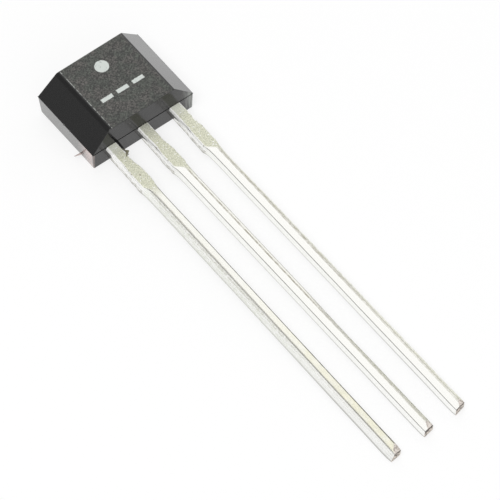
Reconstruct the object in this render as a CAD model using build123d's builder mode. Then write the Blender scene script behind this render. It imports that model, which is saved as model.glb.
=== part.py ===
import os

from build123d import *

os.makedirs("parts", exist_ok=True)

# Flat three-lead hall effect sensor, lying on its back, in millimetres.
# X runs along the row of leads, Y from the lead end of the body to its far end,
# Z from the back face up through the marked face, which is the sensing side.
# The origin is the middle of the back face.

# Moulded body
body_width = 4.05  # across the facets, at the parting plane
body_height = 3.0  # from the lead end to the far end
back_depth = 0.75  # from the back face up to the parting plane
front_depth = 0.82  # from the parting plane up to the marked face
face_width = 2.6  # marked face, between the two sloping facets
face_edge_radius = 0.2  # long edges of the marked face, which run into the facets
end_edge_radius = 0.04  # edges round both ends of the front half
front_lead_end_draft = 0.03  # how far each wall leans in over its depth
front_far_end_draft = 0.1
back_side_draft = 0.025
back_lead_end_draft = 0.045
back_far_end_draft = 0.11
back_corner_radius = 0.06
back_edge_radius = 0.05
parting_step = 0.006  # the back half is this much smaller all round
ejector_diameter = 0.9
ejector_depth = 0.04

# Flake of moulding flash left at the gate, on the side by the first lead
flash_length = 0.3
flash_width = 0.16
flash_thickness = 0.05
flash_from_lead_end = 0.635
flash_height = 0.17
flash_lean = 0.065

# Leads, measured outwards from the lead end of the body
lead_pitch = 1.27
lead_thickness = 0.38
lead_width = 0.38
lead_length = 14.8  # common cut; each lead is a little longer or shorter
supply_extra = 0.1
ground_extra = 0.01
output_extra = -0.02
supply_tip_shift = -0.05  # how far each tip has been bent along the row
ground_tip_shift = 0.07
output_tip_shift = 0.06
stub_start = 0.95  # the cut tie bar leaves a wider stub on each lead
stub_flare = 0.3
stub_length = 0.67
stub_shoulder = 0.13
stub_width = 0.48
wide_edge_radius = 0.11  # one upper edge of the free length is rolled over, the other is nearly sharp
tight_edge_radius = 0.03
nip_length = 0.24  # tip squeezed by the cutter
nip_depth = 0.06

# Inner ends of the leads, measured inwards from the lead end of the body
post_width = 0.62
post_start = 0.55
post_length = 1.0
post_corner_radius = 0.1
paddle_width = 1.44
paddle_start = 0.75
paddle_length = 1.5
paddle_corner_radius = 0.12

# Silicon chip and its adhesive, on the paddle
die_width = 1.0
die_height = 0.9
die_thickness = 0.25
die_from_lead_end = 1.44
attach_thickness = 0.03
attach_border = 0.03

# Gold bond wires
wire_diameter = 0.03
ball_diameter = 0.09
ball_height = 0.03
stitch_diameter = 0.1
stitch_height = 0.02
loop_height = 0.2  # top of the loop above the chip
loop_crest_share = 0.4  # where along its span a loop is highest
pad_inset = 0.13  # bond pads, in from the edges of the chip
post_landing = 0.5  # stitch on a post, in from the start of the post
neck_landing = 0.6  # stitch on the neck of the paddle, in from the lead end

# Heights and places that follow from the sizes above
lead_end = -body_height / 2
body_depth = back_depth + front_depth
face_height = body_height - front_lead_end_draft - front_far_end_draft
face_shift = (front_lead_end_draft - front_far_end_draft) / 2
back_width = body_width - 2 * parting_step
back_height = body_height - 2 * parting_step
back_shift = (back_lead_end_draft - back_far_end_draft) / 2
die_top = back_depth + attach_thickness + die_thickness
die_centre = lead_end + die_from_lead_end
pad_line = die_centre - die_height / 2 + pad_inset

lead_underside = Plane.XY.offset(back_depth - lead_thickness)
parting = Plane.XY.offset(back_depth)
attach_top = parting.offset(attach_thickness)
chip_face = Plane.XY.offset(die_top)
marked_face = Plane.XY.offset(body_depth)


# Strip of a lead: straight root, stub of the tie bar, long free length with rolled edges, nipped tip
def draw_lead(lead, row_place, length, tip_shift, left_radius, right_radius):
    flare_end = stub_start + stub_flare
    stub_end = flare_end + stub_length
    free_start = stub_end + stub_shoulder
    with BuildSketch(lead_underside) as strip:
        with BuildLine():
            Polyline(
                (row_place + lead_width / 2, lead_end + post_start),
                (row_place + lead_width / 2, lead_end - stub_start),
                (row_place + stub_width / 2, lead_end - flare_end),
                (row_place + stub_width / 2, lead_end - stub_end),
                (row_place + lead_width / 2, lead_end - free_start),
                (row_place + tip_shift + lead_width / 2, lead_end - length),
                (row_place + tip_shift - lead_width / 2, lead_end - length),
                (row_place - lead_width / 2, lead_end - free_start),
                (row_place - stub_width / 2, lead_end - stub_end),
                (row_place - stub_width / 2, lead_end - flare_end),
                (row_place - lead_width / 2, lead_end - stub_start),
                (row_place - lead_width / 2, lead_end + post_start),
                close=True,
            )
        make_face()
    extrude(strip.sketch, amount=lead_thickness)
    for place, radius in ((0, left_radius), (-1, right_radius)):
        long_edges = lead.edges().filter_by(lambda edge: edge.length > (length - free_start) / 2)
        fillet(long_edges.group_by(Axis.Z)[-1].sort_by(Axis.X)[place], radius)

    # Two slanted cuts thin the tip from above and below
    nip_side = Plane(
        origin=(row_place + tip_shift - lead_width, lead_end - length, back_depth - lead_thickness / 2),
        x_dir=(0, 1, 0),
        z_dir=(1, 0, 0),
    )
    with BuildSketch(nip_side) as nip_wedges:
        with BuildLine():
            Polyline(
                (-nip_length, lead_thickness),
                (-nip_length, lead_thickness / 2 - 2 * nip_depth),
                (nip_length, lead_thickness / 2),
                (nip_length, lead_thickness),
                close=True,
            )
        make_face()
        mirror(about=Plane.XZ)
    extrude(nip_wedges.sketch, amount=2 * lead_width, mode=Mode.SUBTRACT)


with BuildPart() as lead_supply:
    draw_lead(
        lead_supply,
        -lead_pitch,
        lead_length + supply_extra,
        supply_tip_shift,
        wide_edge_radius,
        tight_edge_radius,
    )
    with BuildSketch(lead_underside):
        with Locations((-lead_pitch, lead_end + post_start + post_length / 2)):
            RectangleRounded(post_width, post_length, post_corner_radius)
    extrude(amount=lead_thickness)
lead_supply.part.label = "lead_supply"

with BuildPart() as lead_ground:
    draw_lead(
        lead_ground,
        0,
        lead_length + ground_extra,
        ground_tip_shift,
        tight_edge_radius,
        wide_edge_radius,
    )
    with BuildSketch(lead_underside):
        with Locations((0, lead_end + (post_start + paddle_start) / 2)):
            Rectangle(lead_width, paddle_start - post_start + 2 * paddle_corner_radius)
        with Locations((0, lead_end + paddle_start + paddle_length / 2)):
            RectangleRounded(paddle_width, paddle_length, paddle_corner_radius)
    extrude(amount=lead_thickness)
lead_ground.part.label = "lead_ground"

with BuildPart() as lead_output:
    draw_lead(
        lead_output,
        lead_pitch,
        lead_length + output_extra,
        output_tip_shift,
        tight_edge_radius,
        wide_edge_radius,
    )
    with BuildSketch(lead_underside):
        with Locations((lead_pitch, lead_end + post_start + post_length / 2)):
            RectangleRounded(post_width, post_length, post_corner_radius)
    extrude(amount=lead_thickness)
lead_output.part.label = "lead_output"

with BuildPart() as die_attach:
    with BuildSketch(parting):
        with Locations((0, die_centre)):
            Rectangle(die_width + 2 * attach_border, die_height + 2 * attach_border)
    extrude(amount=attach_thickness)
die_attach.part.label = "die_attach"

with BuildPart() as hall_die:
    with BuildSketch(attach_top):
        with Locations((0, die_centre)):
            Rectangle(die_width, die_height)
    extrude(amount=die_thickness)
hall_die.part.label = "hall_die"


# One bond wire: ball on the chip, arched wire, flat stitch on the lead
def draw_bond_wire(pad, landing):
    span = Vector(*landing) - Vector(*pad)
    upright = Plane(
        origin=(pad[0], pad[1], die_top),
        x_dir=(span.X, span.Y, 0),
        z_dir=(span.Y, -span.X, 0),
    )
    drop = die_top - back_depth
    with BuildLine(upright) as loop:
        ThreePointArc(
            (0, ball_height / 2),
            (span.length * loop_crest_share, loop_height),
            (span.length, stitch_height / 2 - drop),
        )
    with BuildSketch(Plane(origin=loop.line @ 0, z_dir=loop.line % 0)) as wire_section:
        Circle(wire_diameter / 2)
    sweep(wire_section.sketch, path=loop.line)
    with BuildSketch(chip_face) as ball:
        with Locations(pad):
            Circle(ball_diameter / 2)
    extrude(ball.sketch, amount=ball_height)
    with BuildSketch(parting) as stitch:
        with Locations(landing):
            Circle(stitch_diameter / 2)
    extrude(stitch.sketch, amount=stitch_height)


with BuildPart() as bond_wire_supply:
    draw_bond_wire(
        (pad_inset - die_width / 2, pad_line),
        (-lead_pitch, lead_end + post_start + post_landing),
    )
bond_wire_supply.part.label = "bond_wire_supply"

with BuildPart() as bond_wire_ground:
    draw_bond_wire((0, pad_line), (0, lead_end + neck_landing))
bond_wire_ground.part.label = "bond_wire_ground"

with BuildPart() as bond_wire_output:
    draw_bond_wire(
        (die_width / 2 - pad_inset, pad_line),
        (lead_pitch, lead_end + post_start + post_landing),
    )
bond_wire_output.part.label = "bond_wire_output"

inserts = [
    lead_supply,
    lead_ground,
    lead_output,
    die_attach,
    hall_die,
    bond_wire_supply,
    bond_wire_ground,
    bond_wire_output,
]

with BuildPart() as epoxy_body:
    # Back half: walls with round corners lean in from the parting plane to the back face
    with BuildSketch(parting):
        RectangleRounded(back_width, back_height, back_corner_radius)
    with BuildSketch(Plane.XY):
        with Locations((0, back_shift)):
            RectangleRounded(
                back_width - 2 * back_side_draft,
                back_height - back_lead_end_draft - back_far_end_draft,
                back_corner_radius,
            )
    loft()
    fillet(epoxy_body.faces().sort_by(Axis.Z)[0].edges(), back_edge_radius)

    # Front half, a step wider: facets and ends lean in from the parting plane to the marked face
    with BuildSketch(parting):
        Rectangle(body_width, body_height)
    with BuildSketch(marked_face):
        with Locations((0, face_shift)):
            Rectangle(face_width, face_height)
    loft()
    marked_edges = epoxy_body.faces().sort_by(Axis.Z)[-1].edges()
    fillet(marked_edges.filter_by(Axis.Y), face_edge_radius)
    marked_edges = epoxy_body.faces().sort_by(Axis.Z)[-1].edges()
    fillet(marked_edges.filter_by(Axis.X), end_edge_radius)

    # Round witness of the ejector pin in the back face
    with BuildSketch(Plane.XY):
        Circle(ejector_diameter / 2)
    extrude(amount=ejector_depth, mode=Mode.SUBTRACT)

    # Flash at the gate: a pointed flake that starts inside the side wall
    flash_root = -body_width / 2 + parting_step + back_side_draft
    with BuildSketch(Plane.XY.offset(flash_height)):
        with BuildLine():
            Polyline(
                (flash_root, lead_end + flash_from_lead_end - flash_width / 2),
                (flash_root, lead_end + flash_from_lead_end + flash_width / 2),
                (flash_root - flash_length, lead_end + flash_from_lead_end + flash_lean),
                close=True,
            )
        make_face()
    extrude(amount=flash_thickness)

    # The resin is cast around everything inside it
    for insert in inserts:
        add(insert.part, mode=Mode.SUBTRACT)
epoxy_body.part.label = "epoxy_body"

export_step(epoxy_body.part, "parts/epoxy_body.step")
for insert in inserts:
    export_step(insert.part, f"parts/{insert.part.label}.step")
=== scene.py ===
import math
import random

import bmesh
import bpy
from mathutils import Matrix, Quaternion, Vector


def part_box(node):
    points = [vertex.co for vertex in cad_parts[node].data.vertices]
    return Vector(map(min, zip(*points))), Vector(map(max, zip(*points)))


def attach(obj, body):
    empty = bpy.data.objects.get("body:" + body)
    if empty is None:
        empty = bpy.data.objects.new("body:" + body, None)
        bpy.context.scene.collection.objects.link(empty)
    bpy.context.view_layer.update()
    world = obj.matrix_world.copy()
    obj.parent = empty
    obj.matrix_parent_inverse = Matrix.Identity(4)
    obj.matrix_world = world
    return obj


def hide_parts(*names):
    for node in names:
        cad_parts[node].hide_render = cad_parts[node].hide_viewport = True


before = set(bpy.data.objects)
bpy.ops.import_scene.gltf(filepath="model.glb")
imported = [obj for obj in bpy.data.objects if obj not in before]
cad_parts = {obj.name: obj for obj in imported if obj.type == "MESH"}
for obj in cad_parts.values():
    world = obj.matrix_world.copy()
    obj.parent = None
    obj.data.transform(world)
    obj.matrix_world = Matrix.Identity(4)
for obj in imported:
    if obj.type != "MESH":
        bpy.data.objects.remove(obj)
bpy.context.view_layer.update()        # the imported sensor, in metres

mm = 0.001  # pieces are modelled in millimetres and scaled to metres when they are finished
print("stage: frame loaded,", len(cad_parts), "nodes")


# Editing helpers

def clearSelection():
    if bpy.context.object and bpy.context.object.mode != "OBJECT":
        bpy.ops.object.mode_set(mode="OBJECT")
    bpy.ops.object.select_all(action="DESELECT")


def activate(piece):
    clearSelection()
    piece.select_set(True)
    bpy.context.view_layer.objects.active = piece


def pick(piece, kind, test):  # selects the faces or edges that pass the test, in edit mode
    bpy.ops.mesh.select_mode(type=kind)
    bpy.ops.mesh.select_all(action="DESELECT")
    mesh = bmesh.from_edit_mesh(piece.data)
    for item in {"FACE": mesh.faces, "EDGE": mesh.edges}[kind]:
        if test(item):
            item.select_set(True)
    bmesh.update_edit_mesh(piece.data)


def pushOut(step):  # extrudes what is selected
    bpy.ops.mesh.extrude_region_move(TRANSFORM_OT_translate={"value": step})


def finishModifier(piece, kind, **settings):
    activate(piece)
    modifier = piece.modifiers.new(kind.lower(), kind)
    for key, value in settings.items():
        setattr(modifier, key, value)
    bpy.ops.object.modifier_apply(modifier=modifier.name)


def combine(piece, other, operation):
    finishModifier(piece, "BOOLEAN", operation=operation, object=other, solver="MANIFOLD")
    bpy.data.objects.remove(other)


def finishPiece(piece, name, replaced, smoothAngle):
    activate(piece)
    piece.scale = (mm, mm, mm)
    bpy.ops.object.transform_apply(location=True, rotation=True, scale=True)
    bpy.ops.object.shade_smooth_by_angle(angle=math.radians(smoothAngle))
    finishModifier(piece, "WEIGHTED_NORMAL", keep_sharp=True)
    piece.name = name
    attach(piece, "root")
    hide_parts(replaced)
    print("stage:", name, "finished,", len(piece.data.polygons), "faces")


# Material helpers

solidShare = 0.4  # of a painted line's half width or a spot's radius; the rest fades out


def newMaterial(name):
    material = bpy.data.materials.new(name)
    material.use_nodes = True
    tree = material.node_tree
    return material, tree, tree.nodes["Principled BSDF"]


def put(tree, kind, sockets=None, **settings):  # a node, with its settings, values and links
    made = tree.nodes.new(kind)
    for key, value in settings.items():
        setattr(made, key, value)
    for key, value in (sockets or {}).items():
        if isinstance(value, bpy.types.NodeSocket):
            tree.links.new(value, made.inputs[key])
        else:
            made.inputs[key].default_value = value
    return made


def calc(tree, operation, first, second=0.0, third=0.0):
    return put(tree, "ShaderNodeMath", {0: first, 1: second, 2: third}, operation=operation).outputs[0]


def product(tree, *factors):
    total = factors[0]
    for factor in factors[1:]:
        total = calc(tree, "MULTIPLY", total, factor)
    return total


def largest(tree, *values):
    most = values[0]
    for value in values[1:]:
        most = calc(tree, "MAXIMUM", most, value)
    return most


def without(tree, share):  # what the share leaves of 1
    return calc(tree, "SUBTRACT", 1, share)


def apart(tree, value, middle):
    return calc(tree, "ABSOLUTE", calc(tree, "SUBTRACT", value, middle))


def measure(tree, operation, first, second):  # a number from two vectors
    return put(tree, "ShaderNodeVectorMath", {0: first, 1: second}, operation=operation).outputs["Value"]


def ease(tree, value, start, end, low=0.0, high=1.0):  # smooth step from low to high
    sockets = {"Value": value, "From Min": start, "From Max": end, "To Min": low, "To Max": high}
    return put(tree, "ShaderNodeMapRange", sockets, interpolation_type="SMOOTHSTEP").outputs["Result"]


def line(tree, value, middle, half):  # 1 on the middle, 0 beyond the half width
    return ease(tree, apart(tree, value, middle), half * solidShare, half, 1, 0)


def blendColour(tree, share, first, second):
    return put(tree, "ShaderNodeMix", {0: share, 6: first, 7: second}, data_type="RGBA").outputs[2]


def noise(tree, place, scale, detail=2.0, roughness=0.5):
    sockets = {"Vector": place, "Scale": scale, "Detail": detail, "Roughness": roughness}
    return put(tree, "ShaderNodeTexNoise", sockets).outputs[0]


def millimetres(tree, stretch=(1, 1, 1)):  # object coordinates in millimetres
    place = put(tree, "ShaderNodeTexCoord").outputs["Object"]
    scale = [s / mm for s in stretch]
    return put(tree, "ShaderNodeMapping", {"Vector": place, "Scale": scale}).outputs[0]


def axes(tree, place):
    parts = put(tree, "ShaderNodeSeparateXYZ", {0: place}).outputs
    return parts[0], parts[1], parts[2]


def bump(tree, shader, height, strength, distance):
    sockets = {"Height": height, "Strength": strength, "Distance": distance * mm}
    made = put(tree, "ShaderNodeBump", sockets)
    tree.links.new(made.outputs[0], shader.inputs["Normal"])


# Moulded body

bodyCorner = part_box("epoxy_body")[1]
bodyShape = {
    "halfWidth": bodyCorner.x / mm,
    "halfHeight": bodyCorner.y / mm,
    "depth": bodyCorner.z / mm,
    "parting": 0.75,  # height of the parting line above the back
    "partingLedge": 0.014,  # at the lead end
    "sideLedge": 0.003,
    "faceHalf": 1.3,  # marked face, half across
    "leadEndDraft": 0.03,
    "farEndDraft": 0.1,
    "backSideDraft": 0.03,
    "backLeadEndDraft": 0.015,
    "backFarEndDraft": 0.115,
    "leftFaceEdge": 0.1,  # roundings: how far they reach from the sharp edge
    "rightFaceEdge": 0.04,
    "endEdge": 0.04,
    "slantEdge": 0.025,
    "backCorner": 0.045,
    "backEdge": 0.045,
    "edgeSegments": 5,
    "ejectorRadius": 0.45,
    "ejectorDepth": 0.04,
    "chips": [((-2.05, 0.08, 0.75), 0.055), ((-2.045, -0.23, 0.745), 0.045)],  # place, radius
    "whiskers": [  # root, tip, radius: flash at the gate, and a thread of resin along the first lead
        ((-1.95, -0.87, 0.2), (-2.285, -0.8, 0.185), 0.055),
        ((-1.065, -1.4, 0.715), (-1.066, -2.14, 0.74), 0.07),
        ((-1.015, -2.0, 0.745), (-1.17, -2.17, 0.775), 0.06),
    ],
    "whiskerTaper": 5,  # how many times thinner at the tip
    "whiskerFlatness": 0.5,
    "smoothAngle": 35,
}


def roundEdges(piece, roundings, segments):
    widest = max(width for test, width in roundings)
    for test, width in roundings:
        pick(piece, "EDGE", test)
        bpy.ops.transform.edge_bevelweight(value=width / widest)
    finishModifier(piece, "BEVEL", limit_method="WEIGHT", width=widest, segments=segments,
                   use_clamp_overlap=False, miter_outer="MITER_SHARP")


def makeWhisker(root, tip, radius):
    root, tip = Vector(root), Vector(tip)
    along = tip - root
    clearSelection()
    bpy.ops.mesh.primitive_cone_add(vertices=12, radius1=radius,
                                    radius2=radius / bodyShape["whiskerTaper"],
                                    depth=along.length, location=(root + tip) / 2,
                                    rotation=along.to_track_quat("Z", "Y").to_euler())
    bpy.ops.object.transform_apply(location=False, rotation=True, scale=True)
    whisker = bpy.context.object
    whisker.scale = (1, 1, bodyShape["whiskerFlatness"])
    bpy.ops.object.transform_apply(location=True, rotation=True, scale=True)
    return whisker


def makeBody():
    s = bodyShape
    parting, depth = s["parting"], s["depth"]
    outer = (s["halfWidth"], s["halfHeight"])
    inner = (outer[0] - s["sideLedge"], outer[1] - (s["partingLedge"] + s["sideLedge"]) / 2)
    clearSelection()
    bpy.ops.mesh.primitive_cube_add(size=1, location=(0, 0, parting / 2))
    body = bpy.context.object
    body.scale = (2 * outer[0], 2 * outer[1], parting)
    bpy.ops.object.transform_apply(location=True, rotation=True, scale=True)

    def lean(half, side, leadEnd, farEnd, level):  # the walls lean in to the selected face
        share = (1 - side / half[0], 1 - (leadEnd + farEnd) / 2 / half[1], 1)
        bpy.ops.transform.resize(value=share, center_override=(0, 0, level))
        bpy.ops.transform.translate(value=(0, (leadEnd - farEnd) / 2, 0))

    bpy.ops.object.mode_set(mode="EDIT")
    pick(body, "FACE", lambda f: f.normal.z < -0.9)  # back half
    lean(outer, s["backSideDraft"], s["backLeadEndDraft"], s["backFarEndDraft"], 0)
    pick(body, "FACE", lambda f: f.normal.z > 0.9)  # ledge at the parting line
    pushOut((0, 0, 0))
    lean(outer, s["sideLedge"], s["partingLedge"], s["sideLedge"], parting)
    pushOut((0, 0, depth - parting))  # front half, up to the marked face
    lean(inner, inner[0] - s["faceHalf"], s["leadEndDraft"], s["farEndDraft"], depth)

    near = 1e-3

    def ends(edge):
        return sorted(v.co.z for v in edge.verts)

    def onFace(edge):
        return ends(edge)[0] > depth - near

    def alongX(edge):
        return abs(edge.verts[0].co.y - edge.verts[1].co.y) < near

    roundEdges(body, [
        (lambda e: onFace(e) and not alongX(e) and e.verts[0].co.x < 0, s["leftFaceEdge"]),
        (lambda e: onFace(e) and not alongX(e) and e.verts[0].co.x > 0, s["rightFaceEdge"]),
        (lambda e: onFace(e) and alongX(e), s["endEdge"]),
        (lambda e: near < ends(e)[0] < depth - near < ends(e)[1], s["slantEdge"]),
        (lambda e: ends(e)[0] < near and ends(e)[1] > parting - near, s["backCorner"]),
        (lambda e: ends(e)[1] < near, s["backEdge"]),
    ], s["edgeSegments"])

    clearSelection()  # round witness of the ejector pin in the back
    bpy.ops.mesh.primitive_cylinder_add(vertices=64, radius=s["ejectorRadius"],
                                        depth=2 * s["ejectorDepth"])
    combine(body, bpy.context.object, "DIFFERENCE")
    for place, radius in s["chips"]:  # small chips in the parting line
        clearSelection()
        bpy.ops.mesh.primitive_ico_sphere_add(subdivisions=2, radius=radius, location=place)
        combine(body, bpy.context.object, "DIFFERENCE")
    for root, tip, radius in s["whiskers"]:
        combine(body, makeWhisker(root, tip, radius), "UNION")
    return body


sensorBody = makeBody()
print("stage: body shaped")


# Leads

leadShape = {
    "pitch": 1.27,
    "bodyEnd": bodyShape["halfHeight"],  # distances run outwards from here
    "low": 0.37,
    "high": 0.75,
    "half": 0.19,
    "rootEdge": (0.014, 0.014, 0),  # an upper edge: reach over the top, drop, how far the wall leans in
    "burrEdge": (0.05, 0.15, 0),  # the left one next to the body
    "underEdge": 0.03,
    "edgeHold": 0.03,  # keeps the flats flat beside a rounded edge
    "ringPoints": 16,
    "rootRings": (-0.1, 0.8),
    "stubStart": 0.95,
    "stubFull": 1.25,
    "stubEnd": 1.92,
    "stubHalf": 0.24,
    "stubSkirt": 0.03,  # sheared left wall of the stub, wider at the bottom
    "stubRings": 7,
    "tear": 0.01,  # unevenness of the torn stub edges
    "freeStart": 2.05,
    "freeRings": 14,
    "edgeGrows": 9.5,  # beyond it the right upper edge is rolled over further
    "ripple": 0.004,  # unevenness of the dipped metal
    "overrun": 0.3,  # cut off again at the tip
    "tipUndercut": 0.03,  # how much shorter the lead is below
    "tipFlare": 0.03,  # the cut pressed the metal out to the right
    "flareLength": 0.4,
    "smoothLevels": 2,
    "smoothAngle": 22,
}
leads = {
    "lead_supply": {
        "row": -1,
        "seed": 4,
        "inner": [(-1.55, 0.31), (-1.5, 0.31), (-0.6, 0.31), (-0.5, 0.19)],  # distance, half width
        "rootHalf": (0.255, 0.165),  # next to the body, to the left and to the right
        "extra": (-0.006, 0.014),  # width added on the right, first and at the tip
        "skirt": 0.045,  # how far the foot of the left wall stands out
        "leftEdge": (0.13, 0.07, 0.09),
        "rightEdge": (0.03, 0.03, 0),
        "rightEdgeBefore": (0.03, 0.03, 0),
        "tipShift": -0.033,  # bend along the row
        "tipSkew": 0.05,  # slant of the cut
        "nip": (0.4, 0.45, 0.09),  # facet beside the cut: length, reach from the right wall, depth
        "ridges": [(-0.055, 0.045, 0.4), (-0.108, 0.024, 0.3)],  # dark ridge lines, partly dirt and partly painted shade: across, half width, share
        "edgeLine": (0.178, 0.036, 1.0),  # painted shade: dark line along an upper edge, in the same way
        "specks": [(0.01, 1.5, 0.05), (-0.17, 0.95, 0.03), (-0.2, 1.32, 0.035)],  # across, distance, radius
        "stripSatin": (0.12, 0.4),  # shares along the free length, first and at the tip
        "wallMottle": (0.5, 0.12),
        "cream": 0.65,  # share at the tip
        "rootPaintedLight": 0.5,  # share of the painted light next to the body
    },
    "lead_ground": {
        "row": 0,
        "seed": 9,
        "inner": [(-2.25, 0.72), (-2.2, 0.72), (-0.8, 0.72), (-0.7, 0.19)],
        "rootHalf": (0.25, 0.175),
        "extra": (0.005, 0.022),
        "skirt": 0.025,
        "leftEdge": (0.015, 0.015, 0),
        "rightEdge": (0.11, 0.075, 0),
        "rightEdgeBefore": (0.035, 0.03, 0),
        "tipShift": 0.07,
        "tipSkew": 0.07,
        "nip": (0.5, 0.34, 0.1),
        "ridges": [(0.08, 0.036, 0.8)],
        "edgeLine": (-0.19, 0.02, 0.1),
        "specks": [(-0.2, 0.99, 0.035), (-0.21, 1.6, 0.03)],
        "stripSatin": (0.1, 0.7),
        "wallMottle": (0.25, 0.12),
        "cream": 0.2,
        "rootPaintedLight": 0.25,
    },
    "lead_output": {
        "row": 1,
        "seed": 6,
        "inner": [(-1.55, 0.31), (-1.5, 0.31), (-0.6, 0.31), (-0.5, 0.19)],
        "rootHalf": (0.245, 0.205),
        "extra": (0.008, 0.05),
        "skirt": 0.018,
        "leftEdge": (0.015, 0.015, 0),
        "rightEdge": (0.1, 0.07, 0),
        "rightEdgeBefore": (0.08, 0.056, 0),
        "tipShift": 0.073,
        "tipSkew": 0.1,
        "nip": (0.42, 0.32, 0.1),
        "ridges": [(0.095, 0.055, 0.6)],
        "edgeLine": (-0.19, 0.02, 0.1),
        "specks": [(0.225, 1.19, 0.035), (-0.22, 1.85, 0.03)],
        "stripSatin": (0.6, 0.75),
        "wallMottle": (0.25, 0.12),
        "cream": 0.2,
        "rootPaintedLight": 0.55,
    },
}


def leadLength(name):
    return -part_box(name)[0].y / mm - leadShape["bodyEnd"]


def sectionPoints(middle, west, east, low, high, leftEdge, rightEdge, skirt):  # once round a lead
    under, keep = leadShape["underEdge"], leadShape["edgeHold"]
    left, right = middle - west, middle + east
    foot = left - skirt
    leftReach, leftDrop, leftLean = leftEdge
    rightReach, rightDrop, rightLean = rightEdge
    return [
        (right - under - keep, low), (right - under, low),
        (right, low + under), (right, low + under + keep),
        (right - rightLean, high - rightDrop - keep), (right - rightLean, high - rightDrop),
        (right - rightReach, high), (right - rightReach - keep, high),
        (left + leftReach + keep, high), (left + leftReach, high),
        (left + leftLean, high - leftDrop), (left + leftLean, high - leftDrop - keep),
        (foot, low + under + keep), (foot, low + under),
        (foot + under, low), (foot + under + keep, low),
    ]


def leadStations(lead, length):  # distance, half widths, underside, top, left and right edge, skirt
    s = leadShape
    draw = random.Random(lead["seed"])
    flat = (s["low"], s["high"], s["rootEdge"], s["rootEdge"])
    burred = (s["low"], s["high"], s["burrEdge"], s["rootEdge"])
    stations = [(d, half, half, *flat, 0) for d, half in lead["inner"]]
    stations += [(d, *lead["rootHalf"], *burred, 0) for d in (*s["rootRings"], s["stubStart"])]
    for i in range(s["stubRings"] + 1):
        d = s["stubFull"] + (s["stubEnd"] - s["stubFull"]) * i / s["stubRings"]
        west, east = (s["stubHalf"] + draw.uniform(-1, 1) * s["tear"] for side in range(2))
        skirt = s["stubSkirt"] + draw.uniform(-1, 1) * s["tear"]
        stations.append((d, west, east, *flat, skirt))
    firstExtra, tipExtra = lead["extra"]
    for i in range(s["freeRings"] + 1):
        d = s["freeStart"] + (length + s["overrun"] - s["freeStart"]) * i / s["freeRings"]
        west, east, low, high = (draw.uniform(-1, 1) * s["ripple"] for side in range(4))
        extra = firstExtra + (tipExtra - firstExtra) * i / s["freeRings"]
        flare = s["tipFlare"] if d > length - s["flareLength"] else 0
        rightEdge = lead["rightEdge"] if d > s["edgeGrows"] else lead["rightEdgeBefore"]
        stations.append((d, s["half"] + west, s["half"] + extra + flare + east,
                         s["low"] + abs(low), s["high"] - abs(high),
                         lead["leftEdge"], rightEdge, lead["skirt"]))
    return stations


def tipMiddle(lead):
    return lead["row"] * leadShape["pitch"] + lead["tipShift"]


def nipPlane(lead, length):  # a point on the slanting facet at the tip, and the way it faces
    s = leadShape
    nipLength, nipReach, nipDepth = lead["nip"]
    right, end = tipMiddle(lead) + s["half"] + s["tipFlare"], -s["bodyEnd"] - length
    start = Vector((right, end + nipLength, s["high"]))
    inside = Vector((right - nipReach, end, s["high"]))
    corner = Vector((right, end, s["high"] - nipDepth))
    return start, (inside - start).cross(corner - start).normalized()


def cutOff(place, facing):  # takes away what lies beyond a plane, and closes the cut
    bpy.ops.mesh.select_all(action="SELECT")
    bpy.ops.mesh.bisect(plane_co=place, plane_no=facing, use_fill=True, clear_outer=True)


def makeLead(name):
    s, lead = leadShape, leads[name]
    length = leadLength(name)
    clearSelection()
    bpy.ops.mesh.primitive_circle_add(vertices=s["ringPoints"], radius=s["half"], fill_type="NGON",
                                      rotation=(math.pi / 2, 0, 0))
    piece = bpy.context.object
    bpy.ops.object.transform_apply(location=True, rotation=True, scale=True)
    bpy.ops.object.mode_set(mode="EDIT")
    bpy.ops.mesh.select_mode(type="FACE")
    bpy.ops.mesh.select_all(action="SELECT")
    before = None
    for d, west, east, low, high, leftEdge, rightEdge, skirt in leadStations(lead, length):
        lean = lead["tipShift"] * max(0, d - s["freeStart"]) / (length - s["freeStart"])
        middle = lead["row"] * s["pitch"] + lean
        points = sectionPoints(middle, west, east, low, high, leftEdge, rightEdge, skirt)
        if before:
            pushOut((0, -s["half"], 0))
        mesh = bmesh.from_edit_mesh(piece.data)
        ring = [v for v in mesh.verts if v.select]
        if before:  # each new vert follows the one that it was pushed out from
            for v in ring:
                nearest = min(range(len(before)), key=lambda i: math.dist(before[i], (v.co.x, v.co.z)))
                x, z = points[nearest]
                v.co = (x, -s["bodyEnd"] - d, z)
        else:
            level = (low + high) / 2
            ring.sort(key=lambda v: math.atan2(v.co.z, v.co.x))
            around = sorted(points, key=lambda p: math.atan2(p[1] - level, p[0] - middle))
            for v, (x, z) in zip(ring, around):
                v.co = (x, -s["bodyEnd"] - d, z)
        bmesh.update_edit_mesh(piece.data)
        before = points
    bpy.ops.mesh.select_all(action="SELECT")
    bpy.ops.mesh.normals_make_consistent(inside=False)
    finishModifier(piece, "SUBSURF", levels=s["smoothLevels"], render_levels=s["smoothLevels"])
    bpy.ops.object.mode_set(mode="EDIT")
    cutOff(*nipPlane(lead, length))
    end = (tipMiddle(lead) - s["half"], -s["bodyEnd"] - length, s["high"])
    cutOff(end, (lead["tipSkew"], -2 * s["half"], -s["tipUndercut"]))
    bpy.ops.object.mode_set(mode="OBJECT")
    return piece


leadPieces = {name: makeLead(name) for name in leads}
print("stage: leads shaped")


# Finishes; a pair of places is where a zone starts and where it is full

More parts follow.
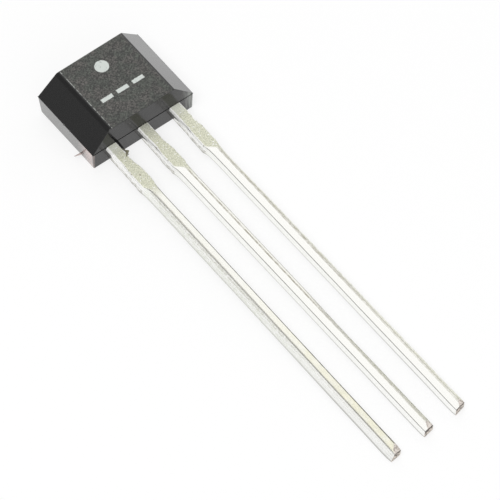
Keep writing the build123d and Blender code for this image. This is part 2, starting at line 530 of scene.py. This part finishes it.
epoxyLook = {
    "faceDark": (0.021, 0.0208, 0.0195, 1),
    "faceBrown": (0.143, 0.135, 0.123, 1),
    "faceGreen": (0.107, 0.121, 0.101, 1),
    "sideDark": (0.006, 0.006, 0.0065, 1),
    "sideLight": (0.014, 0.0138, 0.0135, 1),
    "rightFacet": (0.02, 0.02, 0.019, 1),  # scuffed
    "sideWall": (0.08, 0.08, 0.076, 1),  # scuffed side of the back half
    "endScuff": (0.24, 0.25, 0.235, 1),  # lead end, towards its right corner
    "stain": (0.58, 0.44, 0.41, 1),
    "whisker": (0.5, 0.41, 0.39, 1),
    "thread": (0.15, 0.14, 0.09, 1),
    "ink": (0.62, 0.66, 0.63, 1),
    # partly wear, partly a painted highlight
    "wornEdgeAndHighlight": (0.36, 0.37, 0.35, 1),
    "grainScale": 20,  # spots per millimetre
    "mottleScale": 2.4,
    "fleckScale": 9,
    "streakScale": (14, 14, 1),
    "topDepth": (0.03, 0.012),  # below the marked face
    "faceLeft": (-1.215, -1.19),
    "faceRight": (1.265, 1.235),
    "partingBlur": 0.004,
    "facetRight": (1.26, 1.36),
    "wallLeft": (-1.96, -1.985),
    "stainLeft": (-1.94, -1.975),
    "stainAlong": (-0.3, -1.15),
    "stainEnd": (-1.38, -1.46),  # it is weaker from here on
    "endSkin": (0.035, 0.02),  # in from the lead end
    "scuffRight": (1.5, 1.95),
    "whiskerLeft": (-2.03, -2.06),
    "threadOut": (-1.8, -1.98),
    "edgeLine": (-1.198, 0.02),  # worn line with a painted highlight beside the marked face: place, half width
    "dotPlace": (0.0, 0.7),
    "dotRadius": 0.24,
    "dashPlaces": (-0.62, 0.0, 0.62),
    "dashLine": -0.42,
    "dashHalf": (0.22, 0.075),
    "inkBlur": 0.012,
    "inkRag": 0.06,  # ragged rim of the print
    "roughness": 0.11,
    "faceRoughness": 0.36,  # added on the marked face
    "endRoughness": 0.03,  # added on the lead end
    "mottleRoughness": 0.08,
    "refraction": 1.58,
    "skin": 0.73,  # clear skin left by the polished mould
    "skinRoughness": 0.06,
    "rubbedAlong": (0.6, -1.4),  # right facet
    "rubbedShare": 0.3,
    "rubbedLeft": (-1.17, -1.19),  # left edge of the marked face
    "rubbedDepth": (0.1, 0.07),
    "relief": (0.5, 0.006),  # strength, height
    "sideRelief": 0.06,  # share off the marked face
}


def makeEpoxy():
    look, shape = epoxyLook, bodyShape
    depth, parting, halfHeight = shape["depth"], shape["parting"], shape["halfHeight"]
    material, tree, shader = newMaterial("black_epoxy")
    place = millimetres(tree)
    x, y, z = axes(tree, place)
    grain = noise(tree, place, look["grainScale"], 3, 0.6)
    mottle = noise(tree, place, look["mottleScale"], 3)
    fleck = noise(tree, place, look["fleckScale"], 2, 0.6)
    streak = noise(tree, millimetres(tree, look["streakScale"]), 1, 2)

    def below(zone):  # between two depths under the marked face
        return ease(tree, z, depth - zone[0], depth - zone[1])

    top = below(look["topDepth"])
    face = product(tree, top, ease(tree, x, *look["faceLeft"]), ease(tree, x, *look["faceRight"]))
    front = ease(tree, z, parting - look["partingBlur"], parting + look["partingBlur"])
    back = without(tree, front)
    facetRight = ease(tree, x, *look["facetRight"])
    frontSlope = shape["leadEndDraft"] / (depth - parting)
    frontEnd = calc(tree, "MULTIPLY_ADD", z, frontSlope, -halfHeight - frontSlope * parting)
    backSlope = -shape["backLeadEndDraft"] / parting
    backEnd = calc(tree, "MULTIPLY_ADD", z, backSlope, -halfHeight + shape["backLeadEndDraft"])
    inFromEnd = calc(tree, "SUBTRACT", y, calc(tree, "MAXIMUM", frontEnd, backEnd))
    leadEnd = ease(tree, inFromEnd, *look["endSkin"])

    faceLight = blendColour(tree, ease(tree, mottle, 0.4, 0.6), look["faceGreen"], look["faceBrown"])
    faceColour = blendColour(tree, ease(tree, grain, 0.35, 0.75), look["faceDark"], faceLight)
    sideColour = blendColour(tree, grain, look["sideDark"], look["sideLight"])
    rightFacet = product(tree, facetRight, front, ease(tree, mottle, 0.3, 0.7, 0.6, 1))
    sideColour = blendColour(tree, rightFacet, sideColour, look["rightFacet"])
    sideWall = product(tree, ease(tree, x, *look["wallLeft"]), back, ease(tree, fleck, 0.3, 0.65, 0.55, 1))
    sideColour = blendColour(tree, sideWall, sideColour, look["sideWall"])
    flecked = calc(tree, "ADD", y, calc(tree, "MULTIPLY", fleck, 0.5))
    stain = product(tree, ease(tree, x, *look["stainLeft"]), back, ease(tree, flecked, *look["stainAlong"]),
                    ease(tree, y, *look["stainEnd"], 1, 0.3), ease(tree, mottle, 0.3, 0.6, 0.6, 1))
    sideColour = blendColour(tree, stain, sideColour, look["stain"])
    endScuff = product(tree, leadEnd, ease(tree, x, *look["scuffRight"]),
                       ease(tree, streak, 0.35, 0.65, 0.25, 1))
    sideColour = blendColour(tree, endScuff, sideColour, look["endScuff"])
    sideColour = blendColour(tree, ease(tree, x, *look["whiskerLeft"]), sideColour, look["whisker"])
    sideColour = blendColour(tree, ease(tree, y, *look["threadOut"]), sideColour, look["thread"])
    colour = blendColour(tree, face, sideColour, faceColour)
    # a lighter broken line along the marked face's left edge: partly wear, partly a painted highlight
    wearAndHighlight = product(tree, top, line(tree, x, *look["edgeLine"]), ease(tree, fleck, 0.38, 0.62))
    colour = blendColour(tree, wearAndHighlight, colour, look["wornEdgeAndHighlight"])

    rag = calc(tree, "MULTIPLY_ADD", grain, look["inkRag"], -look["inkRag"] / 2)

    def inked(away, reach):  # print that reaches so far
        ragged = calc(tree, "ADD", away, rag)
        return ease(tree, ragged, reach - look["inkBlur"], reach + look["inkBlur"], 1, 0)

    flat = put(tree, "ShaderNodeCombineXYZ", {0: x, 1: y}).outputs[0]
    ink = inked(measure(tree, "DISTANCE", flat, (*look["dotPlace"], 0)), look["dotRadius"])
    halfLong, halfHigh = look["dashHalf"]
    dashRow = inked(apart(tree, y, look["dashLine"]), halfHigh)
    for middle in look["dashPlaces"]:
        dash = product(tree, inked(apart(tree, x, middle), halfLong), dashRow)
        ink = calc(tree, "MAXIMUM", ink, dash)
    ink = product(tree, ink, face, ease(tree, fleck, 0.22, 0.42, 0.55, 1))
    colour = blendColour(tree, ink, colour, look["ink"])
    tree.links.new(colour, shader.inputs["Base Color"])

    rough = calc(tree, "MULTIPLY_ADD", leadEnd, look["endRoughness"], look["roughness"])
    rough = calc(tree, "MULTIPLY_ADD", face, look["faceRoughness"], rough)
    rough = calc(tree, "MULTIPLY_ADD", mottle, look["mottleRoughness"], rough)
    tree.links.new(rough, shader.inputs["Roughness"])
    shader.inputs["IOR"].default_value = look["refraction"]
    skin = ease(tree, calc(tree, "MAXIMUM", face, leadEnd), 0, 1, look["skin"], 0)
    rubbedFacet = product(tree, facetRight, ease(tree, y, *look["rubbedAlong"], 0, look["rubbedShare"]))
    rubbedEdge = product(tree, ease(tree, x, *look["rubbedLeft"]), below(look["rubbedDepth"]))
    kept = without(tree, calc(tree, "MAXIMUM", rubbedFacet, rubbedEdge))
    tree.links.new(calc(tree, "MULTIPLY", skin, kept), shader.inputs["Coat Weight"])
    shader.inputs["Coat Roughness"].default_value = look["skinRoughness"]
    matt = calc(tree, "MULTIPLY_ADD", face, 1 - look["sideRelief"], look["sideRelief"])
    bump(tree, shader, calc(tree, "MULTIPLY", grain, matt), *look["relief"])
    return material


tinLook = {
    "bright": (0.93, 0.925, 0.89, 1),
    "wallBright": (0.97, 0.968, 0.95, 1),
    "cream": (0.88, 0.84, 0.62, 1),
    "satinDark": (0.54, 0.55, 0.43, 1),
    "satinLight": (0.85, 0.85, 0.7, 1),
    "wall": (0.76, 0.79, 0.67, 1),  # dull blotches on the walls
    "rootWall": (0.46, 0.45, 0.4, 1),
    # painted light for the root tops next to the body
    "rootPaintedLight": (0.82, 0.84, 0.77, 1),
    # painted highlights on burrs, rims and the satin
    "glint": (0.96, 0.96, 0.94, 1),
    # dirt, and painted shade along the ridges
    "dirtAndShade": (0.25, 0.22, 0.15, 1),
    # painted shade for the dark edge and foot lines
    "edgeLine": (0.13, 0.125, 0.105, 1),
    "cutDark": (0.1, 0.083, 0.07, 1),  # sheared end of the tip
    "cutLight": (0.74, 0.67, 0.6, 1),
    "nipDark": (0.5, 0.45, 0.41, 1),
    "nipLight": (0.88, 0.82, 0.76, 1),
    "grainScale": 24,  # spots per millimetre
    "fleckScale": 12,
    "mottleScale": 2.5,
    "blotchScale": (18, 7, 18),
    "streakScale": (24, 0.8, 24),
    "burrHighlightScale": 7,
    "sparkScale": 17,
    "wanderScale": 6,
    "wander": 0.06,  # how far the limits of the zones stray
    "tipZone": (7, 14.5),  # distances from the body
    "bareZone": (1.7, 2.25),  # the bare strip draws back to the first ridge
    "bareRoot": -0.33,  # its limit across, before that
    "satinZone": (2.8, 1.95),
    "creamZone": (6, 13),
    "paintedLightZone": (0.1, 0.6),
    "mattZone": (0.5, 1.1),
    "lineZone": 2.4,  # the dirt and painted shade lines are full from here on
    "fadeZone": (8, 11),
    "fadeShare": 0.5,
    "topDepth": (0.035, 0.015),  # below the top of the lead
    "edgeDepth": (0.04, 0.025),
    "rimDepth": (0.12, 0.09),
    "bevelAcross": (0.03, 0.06),
    "bevelDepth": 0.03,
    "wallLevel": (0.64, 0.5),  # dull root walls, below the burr
    "burrHighlightLevel": (0.6, 0.66),
    "rimLeft": (0.175, 0.2),  # painted highlights on the rims: across, at the root and at the stub
    "rimRight": 0.205,
    "rimInset": 0.03,
    "footLine": 0.13,  # painted shade along the lower edge
    "footShare": (0.3, 0.55),
    "speckShare": 0.75,
    "nipSkin": (0.006, 0.003),  # how deep the colour of the cuts goes
    "cutSkin": (0.012, 0.006),
    "tornLevel": (0.58, 0.7),
    "dirtAndShadeMatt": 1.4,
    "satinMatt": 0.15,
    "roughness": 0.14,
    "satinRoughness": 0.28,  # added
    "streakRoughness": 0.1,
    "relief": (0.35, 0.005),  # strength, height
}


def makeTin(name):  # satin where the strip shows, bright where it was dipped or rolled over
    s, lead, look = leadShape, leads[name], tinLook
    material, tree, shader = newMaterial("tin_on_" + name)
    place = millimetres(tree)
    x, y, z = axes(tree, place)
    out = calc(tree, "SUBTRACT", calc(tree, "MULTIPLY", y, -1), s["bodyEnd"])  # distance from the body
    length = leadLength(name)
    free = calc(tree, "MAXIMUM", calc(tree, "SUBTRACT", out, s["freeStart"]), 0)
    lean = calc(tree, "MULTIPLY", free, lead["tipShift"] / (length - s["freeStart"]))
    across = calc(tree, "SUBTRACT", calc(tree, "SUBTRACT", x, lead["row"] * s["pitch"]), lean)
    grain = noise(tree, place, look["grainScale"], 3, 0.65)
    fleck = noise(tree, place, look["fleckScale"], 2, 0.6)
    mottle = noise(tree, place, look["mottleScale"], 3)
    blotch = noise(tree, millimetres(tree, look["blotchScale"]), 1, 3, 0.65)
    streak = noise(tree, millimetres(tree, look["streakScale"]), 1, 3)
    stray = noise(tree, place, look["wanderScale"], 2)
    wander = calc(tree, "MULTIPLY_ADD", stray, look["wander"], -look["wander"] / 2)

    def below(zone):  # between two depths under the top
        return ease(tree, z, s["high"] - zone[0], s["high"] - zone[1])

    def toStub(first, last):  # changes where the stub widens
        return ease(tree, out, s["stubStart"], s["stubFull"], first, last)

    root = ease(tree, out, s["stubEnd"], s["freeStart"], 1, 0)
    toTip = ease(tree, out, *look["tipZone"])
    bevelFoot = s["high"] - lead["rightEdge"][1]
    bevel = product(tree, ease(tree, across, *look["bevelAcross"]),
                    ease(tree, z, bevelFoot - look["bevelDepth"], bevelFoot))
    top = calc(tree, "MAXIMUM", below(look["topDepth"]), bevel)
    wall = without(tree, top)

    limit = ease(tree, out, *look["bareZone"], look["bareRoot"], lead["ridges"][0][0])
    fromLimit = calc(tree, "SUBTRACT", across, calc(tree, "ADD", limit, wander))
    bare = ease(tree, fromLimit, -0.06, 0.05)
    speckled = product(tree, ease(tree, toTip, 0, 1, *lead["stripSatin"]),
                       ease(tree, blotch, 0.42, 0.58, 0.2, 1))
    strip = calc(tree, "MAXIMUM", ease(tree, out, *look["satinZone"]), speckled)
    satin = product(tree, bare, strip, top)
    satinColour = blendColour(tree, ease(tree, grain, 0.36, 0.64), look["satinDark"], look["satinLight"])
    colour = blendColour(tree, wall, look["bright"], look["wallBright"])
    yellowed = product(tree, bare, top, ease(tree, out, *look["creamZone"], 0.1, lead["cream"]),
                       ease(tree, mottle, 0.3, 0.6, 0.4, 1))
    colour = blendColour(tree, yellowed, colour, look["cream"])
    colour = blendColour(tree, satin, colour, satinColour)
    # painted light: the root tops are paler and less metallic next to the body
    nearBodyPaintedLight = product(tree, top, ease(tree, out, *look["paintedLightZone"], lead["rootPaintedLight"], 0))
    colour = blendColour(tree, nearBodyPaintedLight, colour, look["rootPaintedLight"])

    rootWall = calc(tree, "MULTIPLY", root, ease(tree, calc(tree, "ADD", z, wander), *look["wallLevel"]))
    mottled = ease(tree, across, 0.02, -0.02, 0.2, ease(tree, toTip, 0, 1, *lead["wallMottle"]))
    freeWall = calc(tree, "MULTIPLY", mottled, without(tree, root))
    dull = product(tree, wall, calc(tree, "MAXIMUM", rootWall, freeWall),
                   ease(tree, blotch, 0.38, 0.62, 0.15, 1))
    colour = blendColour(tree, dull, colour, blendColour(tree, root, look["wall"], look["rootWall"]))

    # painted highlights: glints on the burrs, sparkles on the satin, bright rims
    shoulder = calc(tree, "SUBTRACT", calc(tree, "ABSOLUTE", across), toStub(s["half"], s["stubHalf"]))
    burrHighlight = product(tree, root, ease(tree, calc(tree, "ADD", shoulder, wander), -0.04, -0.02),
                   ease(tree, noise(tree, place, look["burrHighlightScale"], 2), 0.42, 0.52),
                   ease(tree, z, *look["burrHighlightLevel"]))
    spark = product(tree, satin, ease(tree, noise(tree, place, look["sparkScale"], 1), 0.66, 0.71))
    pastLeft = calc(tree, "ADD", across, toStub(*look["rimLeft"]))
    leftRim = product(tree, ease(tree, pastLeft, 0.015, -0.01), ease(tree, fleck, 0.3, 0.5, 0.75, 1))
    rimStart = lead["rootHalf"][1] - look["rimInset"]
    pastRight = calc(tree, "SUBTRACT", across, toStub(rimStart, look["rimRight"]))
    rightRim = product(tree, ease(tree, pastRight, -0.01, 0.015), ease(tree, fleck, 0.42, 0.58, 0, 0.85))
    rim = product(tree, calc(tree, "MAXIMUM", leftRim, rightRim), root, below(look["rimDepth"]))
    colour = blendColour(tree, largest(tree, burrHighlight, spark, rim), colour, look["glint"])

    along = ease(tree, out, s["freeStart"], look["lineZone"])
    fading = product(tree, along, ease(tree, out, *look["fadeZone"], 1, look["fadeShare"]))
    wavy = calc(tree, "ADD", across, calc(tree, "MULTIPLY", wander, 0.35))
    # dark lines along the ridges, partly dirt and partly painted shade; specks of dirt
    marks = []
    for middle, half, share in lead["ridges"]:
        patchy = ease(tree, blotch, 0.36, 0.6, 0.4 * share, share)
        marks.append(product(tree, line(tree, wavy, middle, half), fading, patchy))
    unrolled = put(tree, "ShaderNodeCombineXYZ", {0: calc(tree, "ADD", across, wander), 1: out}).outputs[0]
    for speckAcross, speckOut, radius in lead["specks"]:
        away = measure(tree, "DISTANCE", unrolled, (speckAcross, speckOut, 0))
        marks.append(ease(tree, away, radius * solidShare, radius, look["speckShare"], 0))
    stainsAndShade = largest(tree, *marks)
    colour = blendColour(tree, stainsAndShade, colour, look["dirtAndShade"])
    footTop = s["low"] + look["footLine"]
    footFull = s["low"] + look["footLine"] / 2
    # painted shade along the foot of the walls and along an upper edge
    foot = product(tree, ease(tree, z, footTop, footFull), wall,
                   ease(tree, toTip, 0, 1, *look["footShare"]))
    edgeAcross, edgeHalf, edgeShare = lead["edgeLine"]
    edgeLine = product(tree, line(tree, across, edgeAcross, edgeHalf), along, below(look["edgeDepth"]),
                       ease(tree, blotch, 0.3, 0.6, 0.6 * edgeShare, edgeShare))
    colour = blendColour(tree, calc(tree, "MAXIMUM", foot, edgeLine), colour, look["edgeLine"])

    nipPlace, nipFacing = nipPlane(lead, length)
    toNip = calc(tree, "SUBTRACT", measure(tree, "DOT_PRODUCT", place, nipFacing), nipPlace.dot(nipFacing))
    nip = ease(tree, toNip, -look["nipSkin"][0], -look["nipSkin"][1])
    nipColour = blendColour(tree, ease(tree, fleck, 0.35, 0.65), look["nipDark"], look["nipLight"])
    colour = blendColour(tree, nip, colour, nipColour)
    fromLeft = calc(tree, "ADD", across, s["half"])
    skewed = calc(tree, "MULTIPLY_ADD", fromLeft, lead["tipSkew"] / (2 * s["half"]), out)
    fromTop = calc(tree, "SUBTRACT", s["high"], z)
    undercut = calc(tree, "MULTIPLY", fromTop, s["tipUndercut"] / (2 * s["half"]))
    cut = ease(tree, calc(tree, "ADD", skewed, undercut),
               length - look["cutSkin"][0], length - look["cutSkin"][1])
    torn = calc(tree, "ADD", fleck, ease(tree, z, *look["tornLevel"], 0, -0.25))
    cutColour = blendColour(tree, ease(tree, torn, 0.3, 0.62), look["cutDark"], look["cutLight"])
    colour = blendColour(tree, cut, colour, cutColour)
    tree.links.new(colour, shader.inputs["Base Color"])

    mattRim = calc(tree, "MULTIPLY", rim, ease(tree, out, *look["mattZone"], 0.85, 0.2))
    matt = largest(tree, mattRim, nearBodyPaintedLight, calc(tree, "MULTIPLY", stainsAndShade, look["dirtAndShadeMatt"]))
    metal = calc(tree, "SUBTRACT", calc(tree, "MULTIPLY_ADD", satin, -look["satinMatt"], 1), matt)
    tree.links.new(metal, shader.inputs["Metallic"])
    rough = largest(tree, satin, nip, cut, stainsAndShade)
    rough = calc(tree, "MULTIPLY_ADD", rough, look["satinRoughness"], look["roughness"])
    rough = calc(tree, "MULTIPLY_ADD", streak, look["streakRoughness"], rough)
    tree.links.new(rough, shader.inputs["Roughness"])
    grainy = calc(tree, "MULTIPLY", grain, calc(tree, "MAXIMUM", satin, dull))
    bump(tree, shader, calc(tree, "ADD", streak, grainy), *look["relief"])
    return material


insideLooks = {  # of what is sealed in the body: dark and light colour, metallic, roughness, grain scale
    "polished_silicon": ((0.1, 0.11, 0.14, 1), (0.22, 0.23, 0.27, 1), 0.3, 0.15, 14),
    "silver_adhesive": ((0.42, 0.42, 0.41, 1), (0.68, 0.68, 0.66, 1), 0.4, 0.55, 30),
    "drawn_gold": ((0.76, 0.53, 0.18, 1), (0.9, 0.71, 0.32, 1), 1, 0.22, 40),
}
insideNodes = {
    "hall_die": "polished_silicon",
    "die_attach": "silver_adhesive",
    "bond_wire_supply": "drawn_gold",
    "bond_wire_ground": "drawn_gold",
    "bond_wire_output": "drawn_gold",
}


def makeInside(name):
    dark, light, metallic, roughness, scale = insideLooks[name]
    material, tree, shader = newMaterial(name)
    grain = noise(tree, millimetres(tree), scale, 3)
    tree.links.new(blendColour(tree, grain, dark, light), shader.inputs["Base Color"])
    tree.links.new(calc(tree, "MULTIPLY_ADD", grain, 0.15, roughness), shader.inputs["Roughness"])
    shader.inputs["Metallic"].default_value = metallic
    bump(tree, shader, grain, 0.2, 0.002)
    return material


sensorBody.data.materials.clear()
sensorBody.data.materials.append(makeEpoxy())
finishPiece(sensorBody, "moulded_body", "epoxy_body", bodyShape["smoothAngle"])
for name, piece in leadPieces.items():
    piece.data.materials.append(makeTin(name))
    finishPiece(piece, name.replace("lead", "tinned_lead"), name, leadShape["smoothAngle"])
insideMaterials = {name: makeInside(name) for name in insideLooks}
for node, finish in insideNodes.items():
    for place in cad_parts[node].material_slots:
        place.material = insideMaterials[finish]
print("stage: finishes made")


# Floor, light and camera

stageSetup = {
    "floorSize": 600,
    "paperDark": (0.97, 0.97, 0.97, 1),
    "paperLight": (0.99, 0.99, 0.99, 1),
    "paperRoughness": 0.9,
    "fibreScale": 6,
    "floorWhite": 0.72,  # share of plain white in what the camera and reflections see of the floor
    "touchNear": (-1.44, 0.0),  # the body's lower edge and the lead tips rest on the floor
    "touchFar": (-16.1, 0.37),
    "skyLevel": 1.06,
    "skyPatches": [  # darker parts of the surroundings: towards, edge, core, share that is left
        ((-0.85, 0.46, 0.25), 0.3, 0.65, 0.25),
        ((0.335, -0.451, 0.827), 0.78, 0.93, 0.35),
        ((0.8, 0.45, 0.4), 0.93, 0.985, 0.5),
    ],
    "keyPlace": (-126, -47, 285),
    "keySize": 190,
    "keyPower": 0.46,
}
cameraSetup = {
    "aim": (0.052, -7.078, 0.0),
    "azimuth": -36.55,
    "elevation": 55.82,
    "roll": -1.11,
    "distance": 223.92,
    "lens": 504,
    "sensor": 36,
    "clip": (0.01, 10),  # in metres
}


def makeFloor():
    s = stageSetup
    (nearY, nearZ), (farY, farZ) = s["touchNear"], s["touchFar"]
    slope = (farZ - nearZ) / (farY - nearY)
    clearSelection()
    bpy.ops.mesh.primitive_plane_add(size=s["floorSize"] * mm,
                                     location=(0, 0, (nearZ - slope * nearY) * mm),
                                     rotation=(math.atan(slope), 0, 0))
    floor = bpy.context.object
    floor.name = "paper_floor"
    material, tree, shader = newMaterial("white_paper")
    fibre = noise(tree, millimetres(tree), s["fibreScale"], 3)
    colour = blendColour(tree, fibre, s["paperDark"], s["paperLight"])
    tree.links.new(colour, shader.inputs["Base Color"])
    shader.inputs["Roughness"].default_value = s["paperRoughness"]
    shader.inputs["Specular IOR Level"].default_value = 0
    ray = put(tree, "ShaderNodeLightPath").outputs
    seen = largest(tree, ray["Is Camera Ray"], ray["Is Glossy Ray"], ray["Is Transmission Ray"])
    white = put(tree, "ShaderNodeEmission", {"Color": (1, 1, 1, 1), "Strength": 1.0}).outputs[0]
    share = calc(tree, "MULTIPLY", seen, s["floorWhite"])
    mixed = put(tree, "ShaderNodeMixShader", {0: share, 1: shader.outputs[0], 2: white}).outputs[0]
    tree.links.new(mixed, tree.nodes["Material Output"].inputs["Surface"])
    floor.data.materials.append(material)


def makeLight():
    world = bpy.data.worlds.new("studio")
    bpy.context.scene.world = world
    world.use_nodes = True
    tree = world.node_tree
    toward = put(tree, "ShaderNodeTexCoord").outputs["Generated"]
    level = stageSetup["skyLevel"]
    for aim, edge, core, share in stageSetup["skyPatches"]:
        facing = measure(tree, "DOT_PRODUCT", toward, Vector(aim).normalized())
        level = calc(tree, "MULTIPLY", ease(tree, facing, edge, core, 1, share), level)
    tree.links.new(level, tree.nodes["Background"].inputs["Strength"])
    tree.nodes["Background"].inputs["Color"].default_value = (1, 1, 1, 1)
    clearSelection()
    place = Vector(stageSetup["keyPlace"]) * mm
    bpy.ops.object.light_add(type="AREA", location=place)
    key = bpy.context.object
    key.data.size = stageSetup["keySize"] * mm
    key.data.energy = stageSetup["keyPower"]
    key.rotation_euler = (-place).to_track_quat("-Z", "Y").to_euler()


def makeCamera():
    s = cameraSetup
    bpy.ops.object.camera_add()
    camera = bpy.context.object
    turn, rise = math.radians(s["azimuth"]), math.radians(s["elevation"])
    back = Vector((math.sin(turn) * math.cos(rise), -math.cos(turn) * math.cos(rise), math.sin(rise)))
    camera.location = (Vector(s["aim"]) + back * s["distance"]) * mm
    camera.rotation_mode = "QUATERNION"
    roll = Quaternion((0, 0, 1), math.radians(s["roll"]))
    camera.rotation_quaternion = (-back).to_track_quat("-Z", "Y") @ roll
    camera.data.lens = s["lens"]
    camera.data.sensor_width = s["sensor"]
    camera.data.clip_start, camera.data.clip_end = s["clip"]
    bpy.context.scene.camera = camera


makeFloor()
makeLight()
makeCamera()
bpy.context.scene.view_settings.view_transform = "Standard"
print("stage: floor, light and camera set")
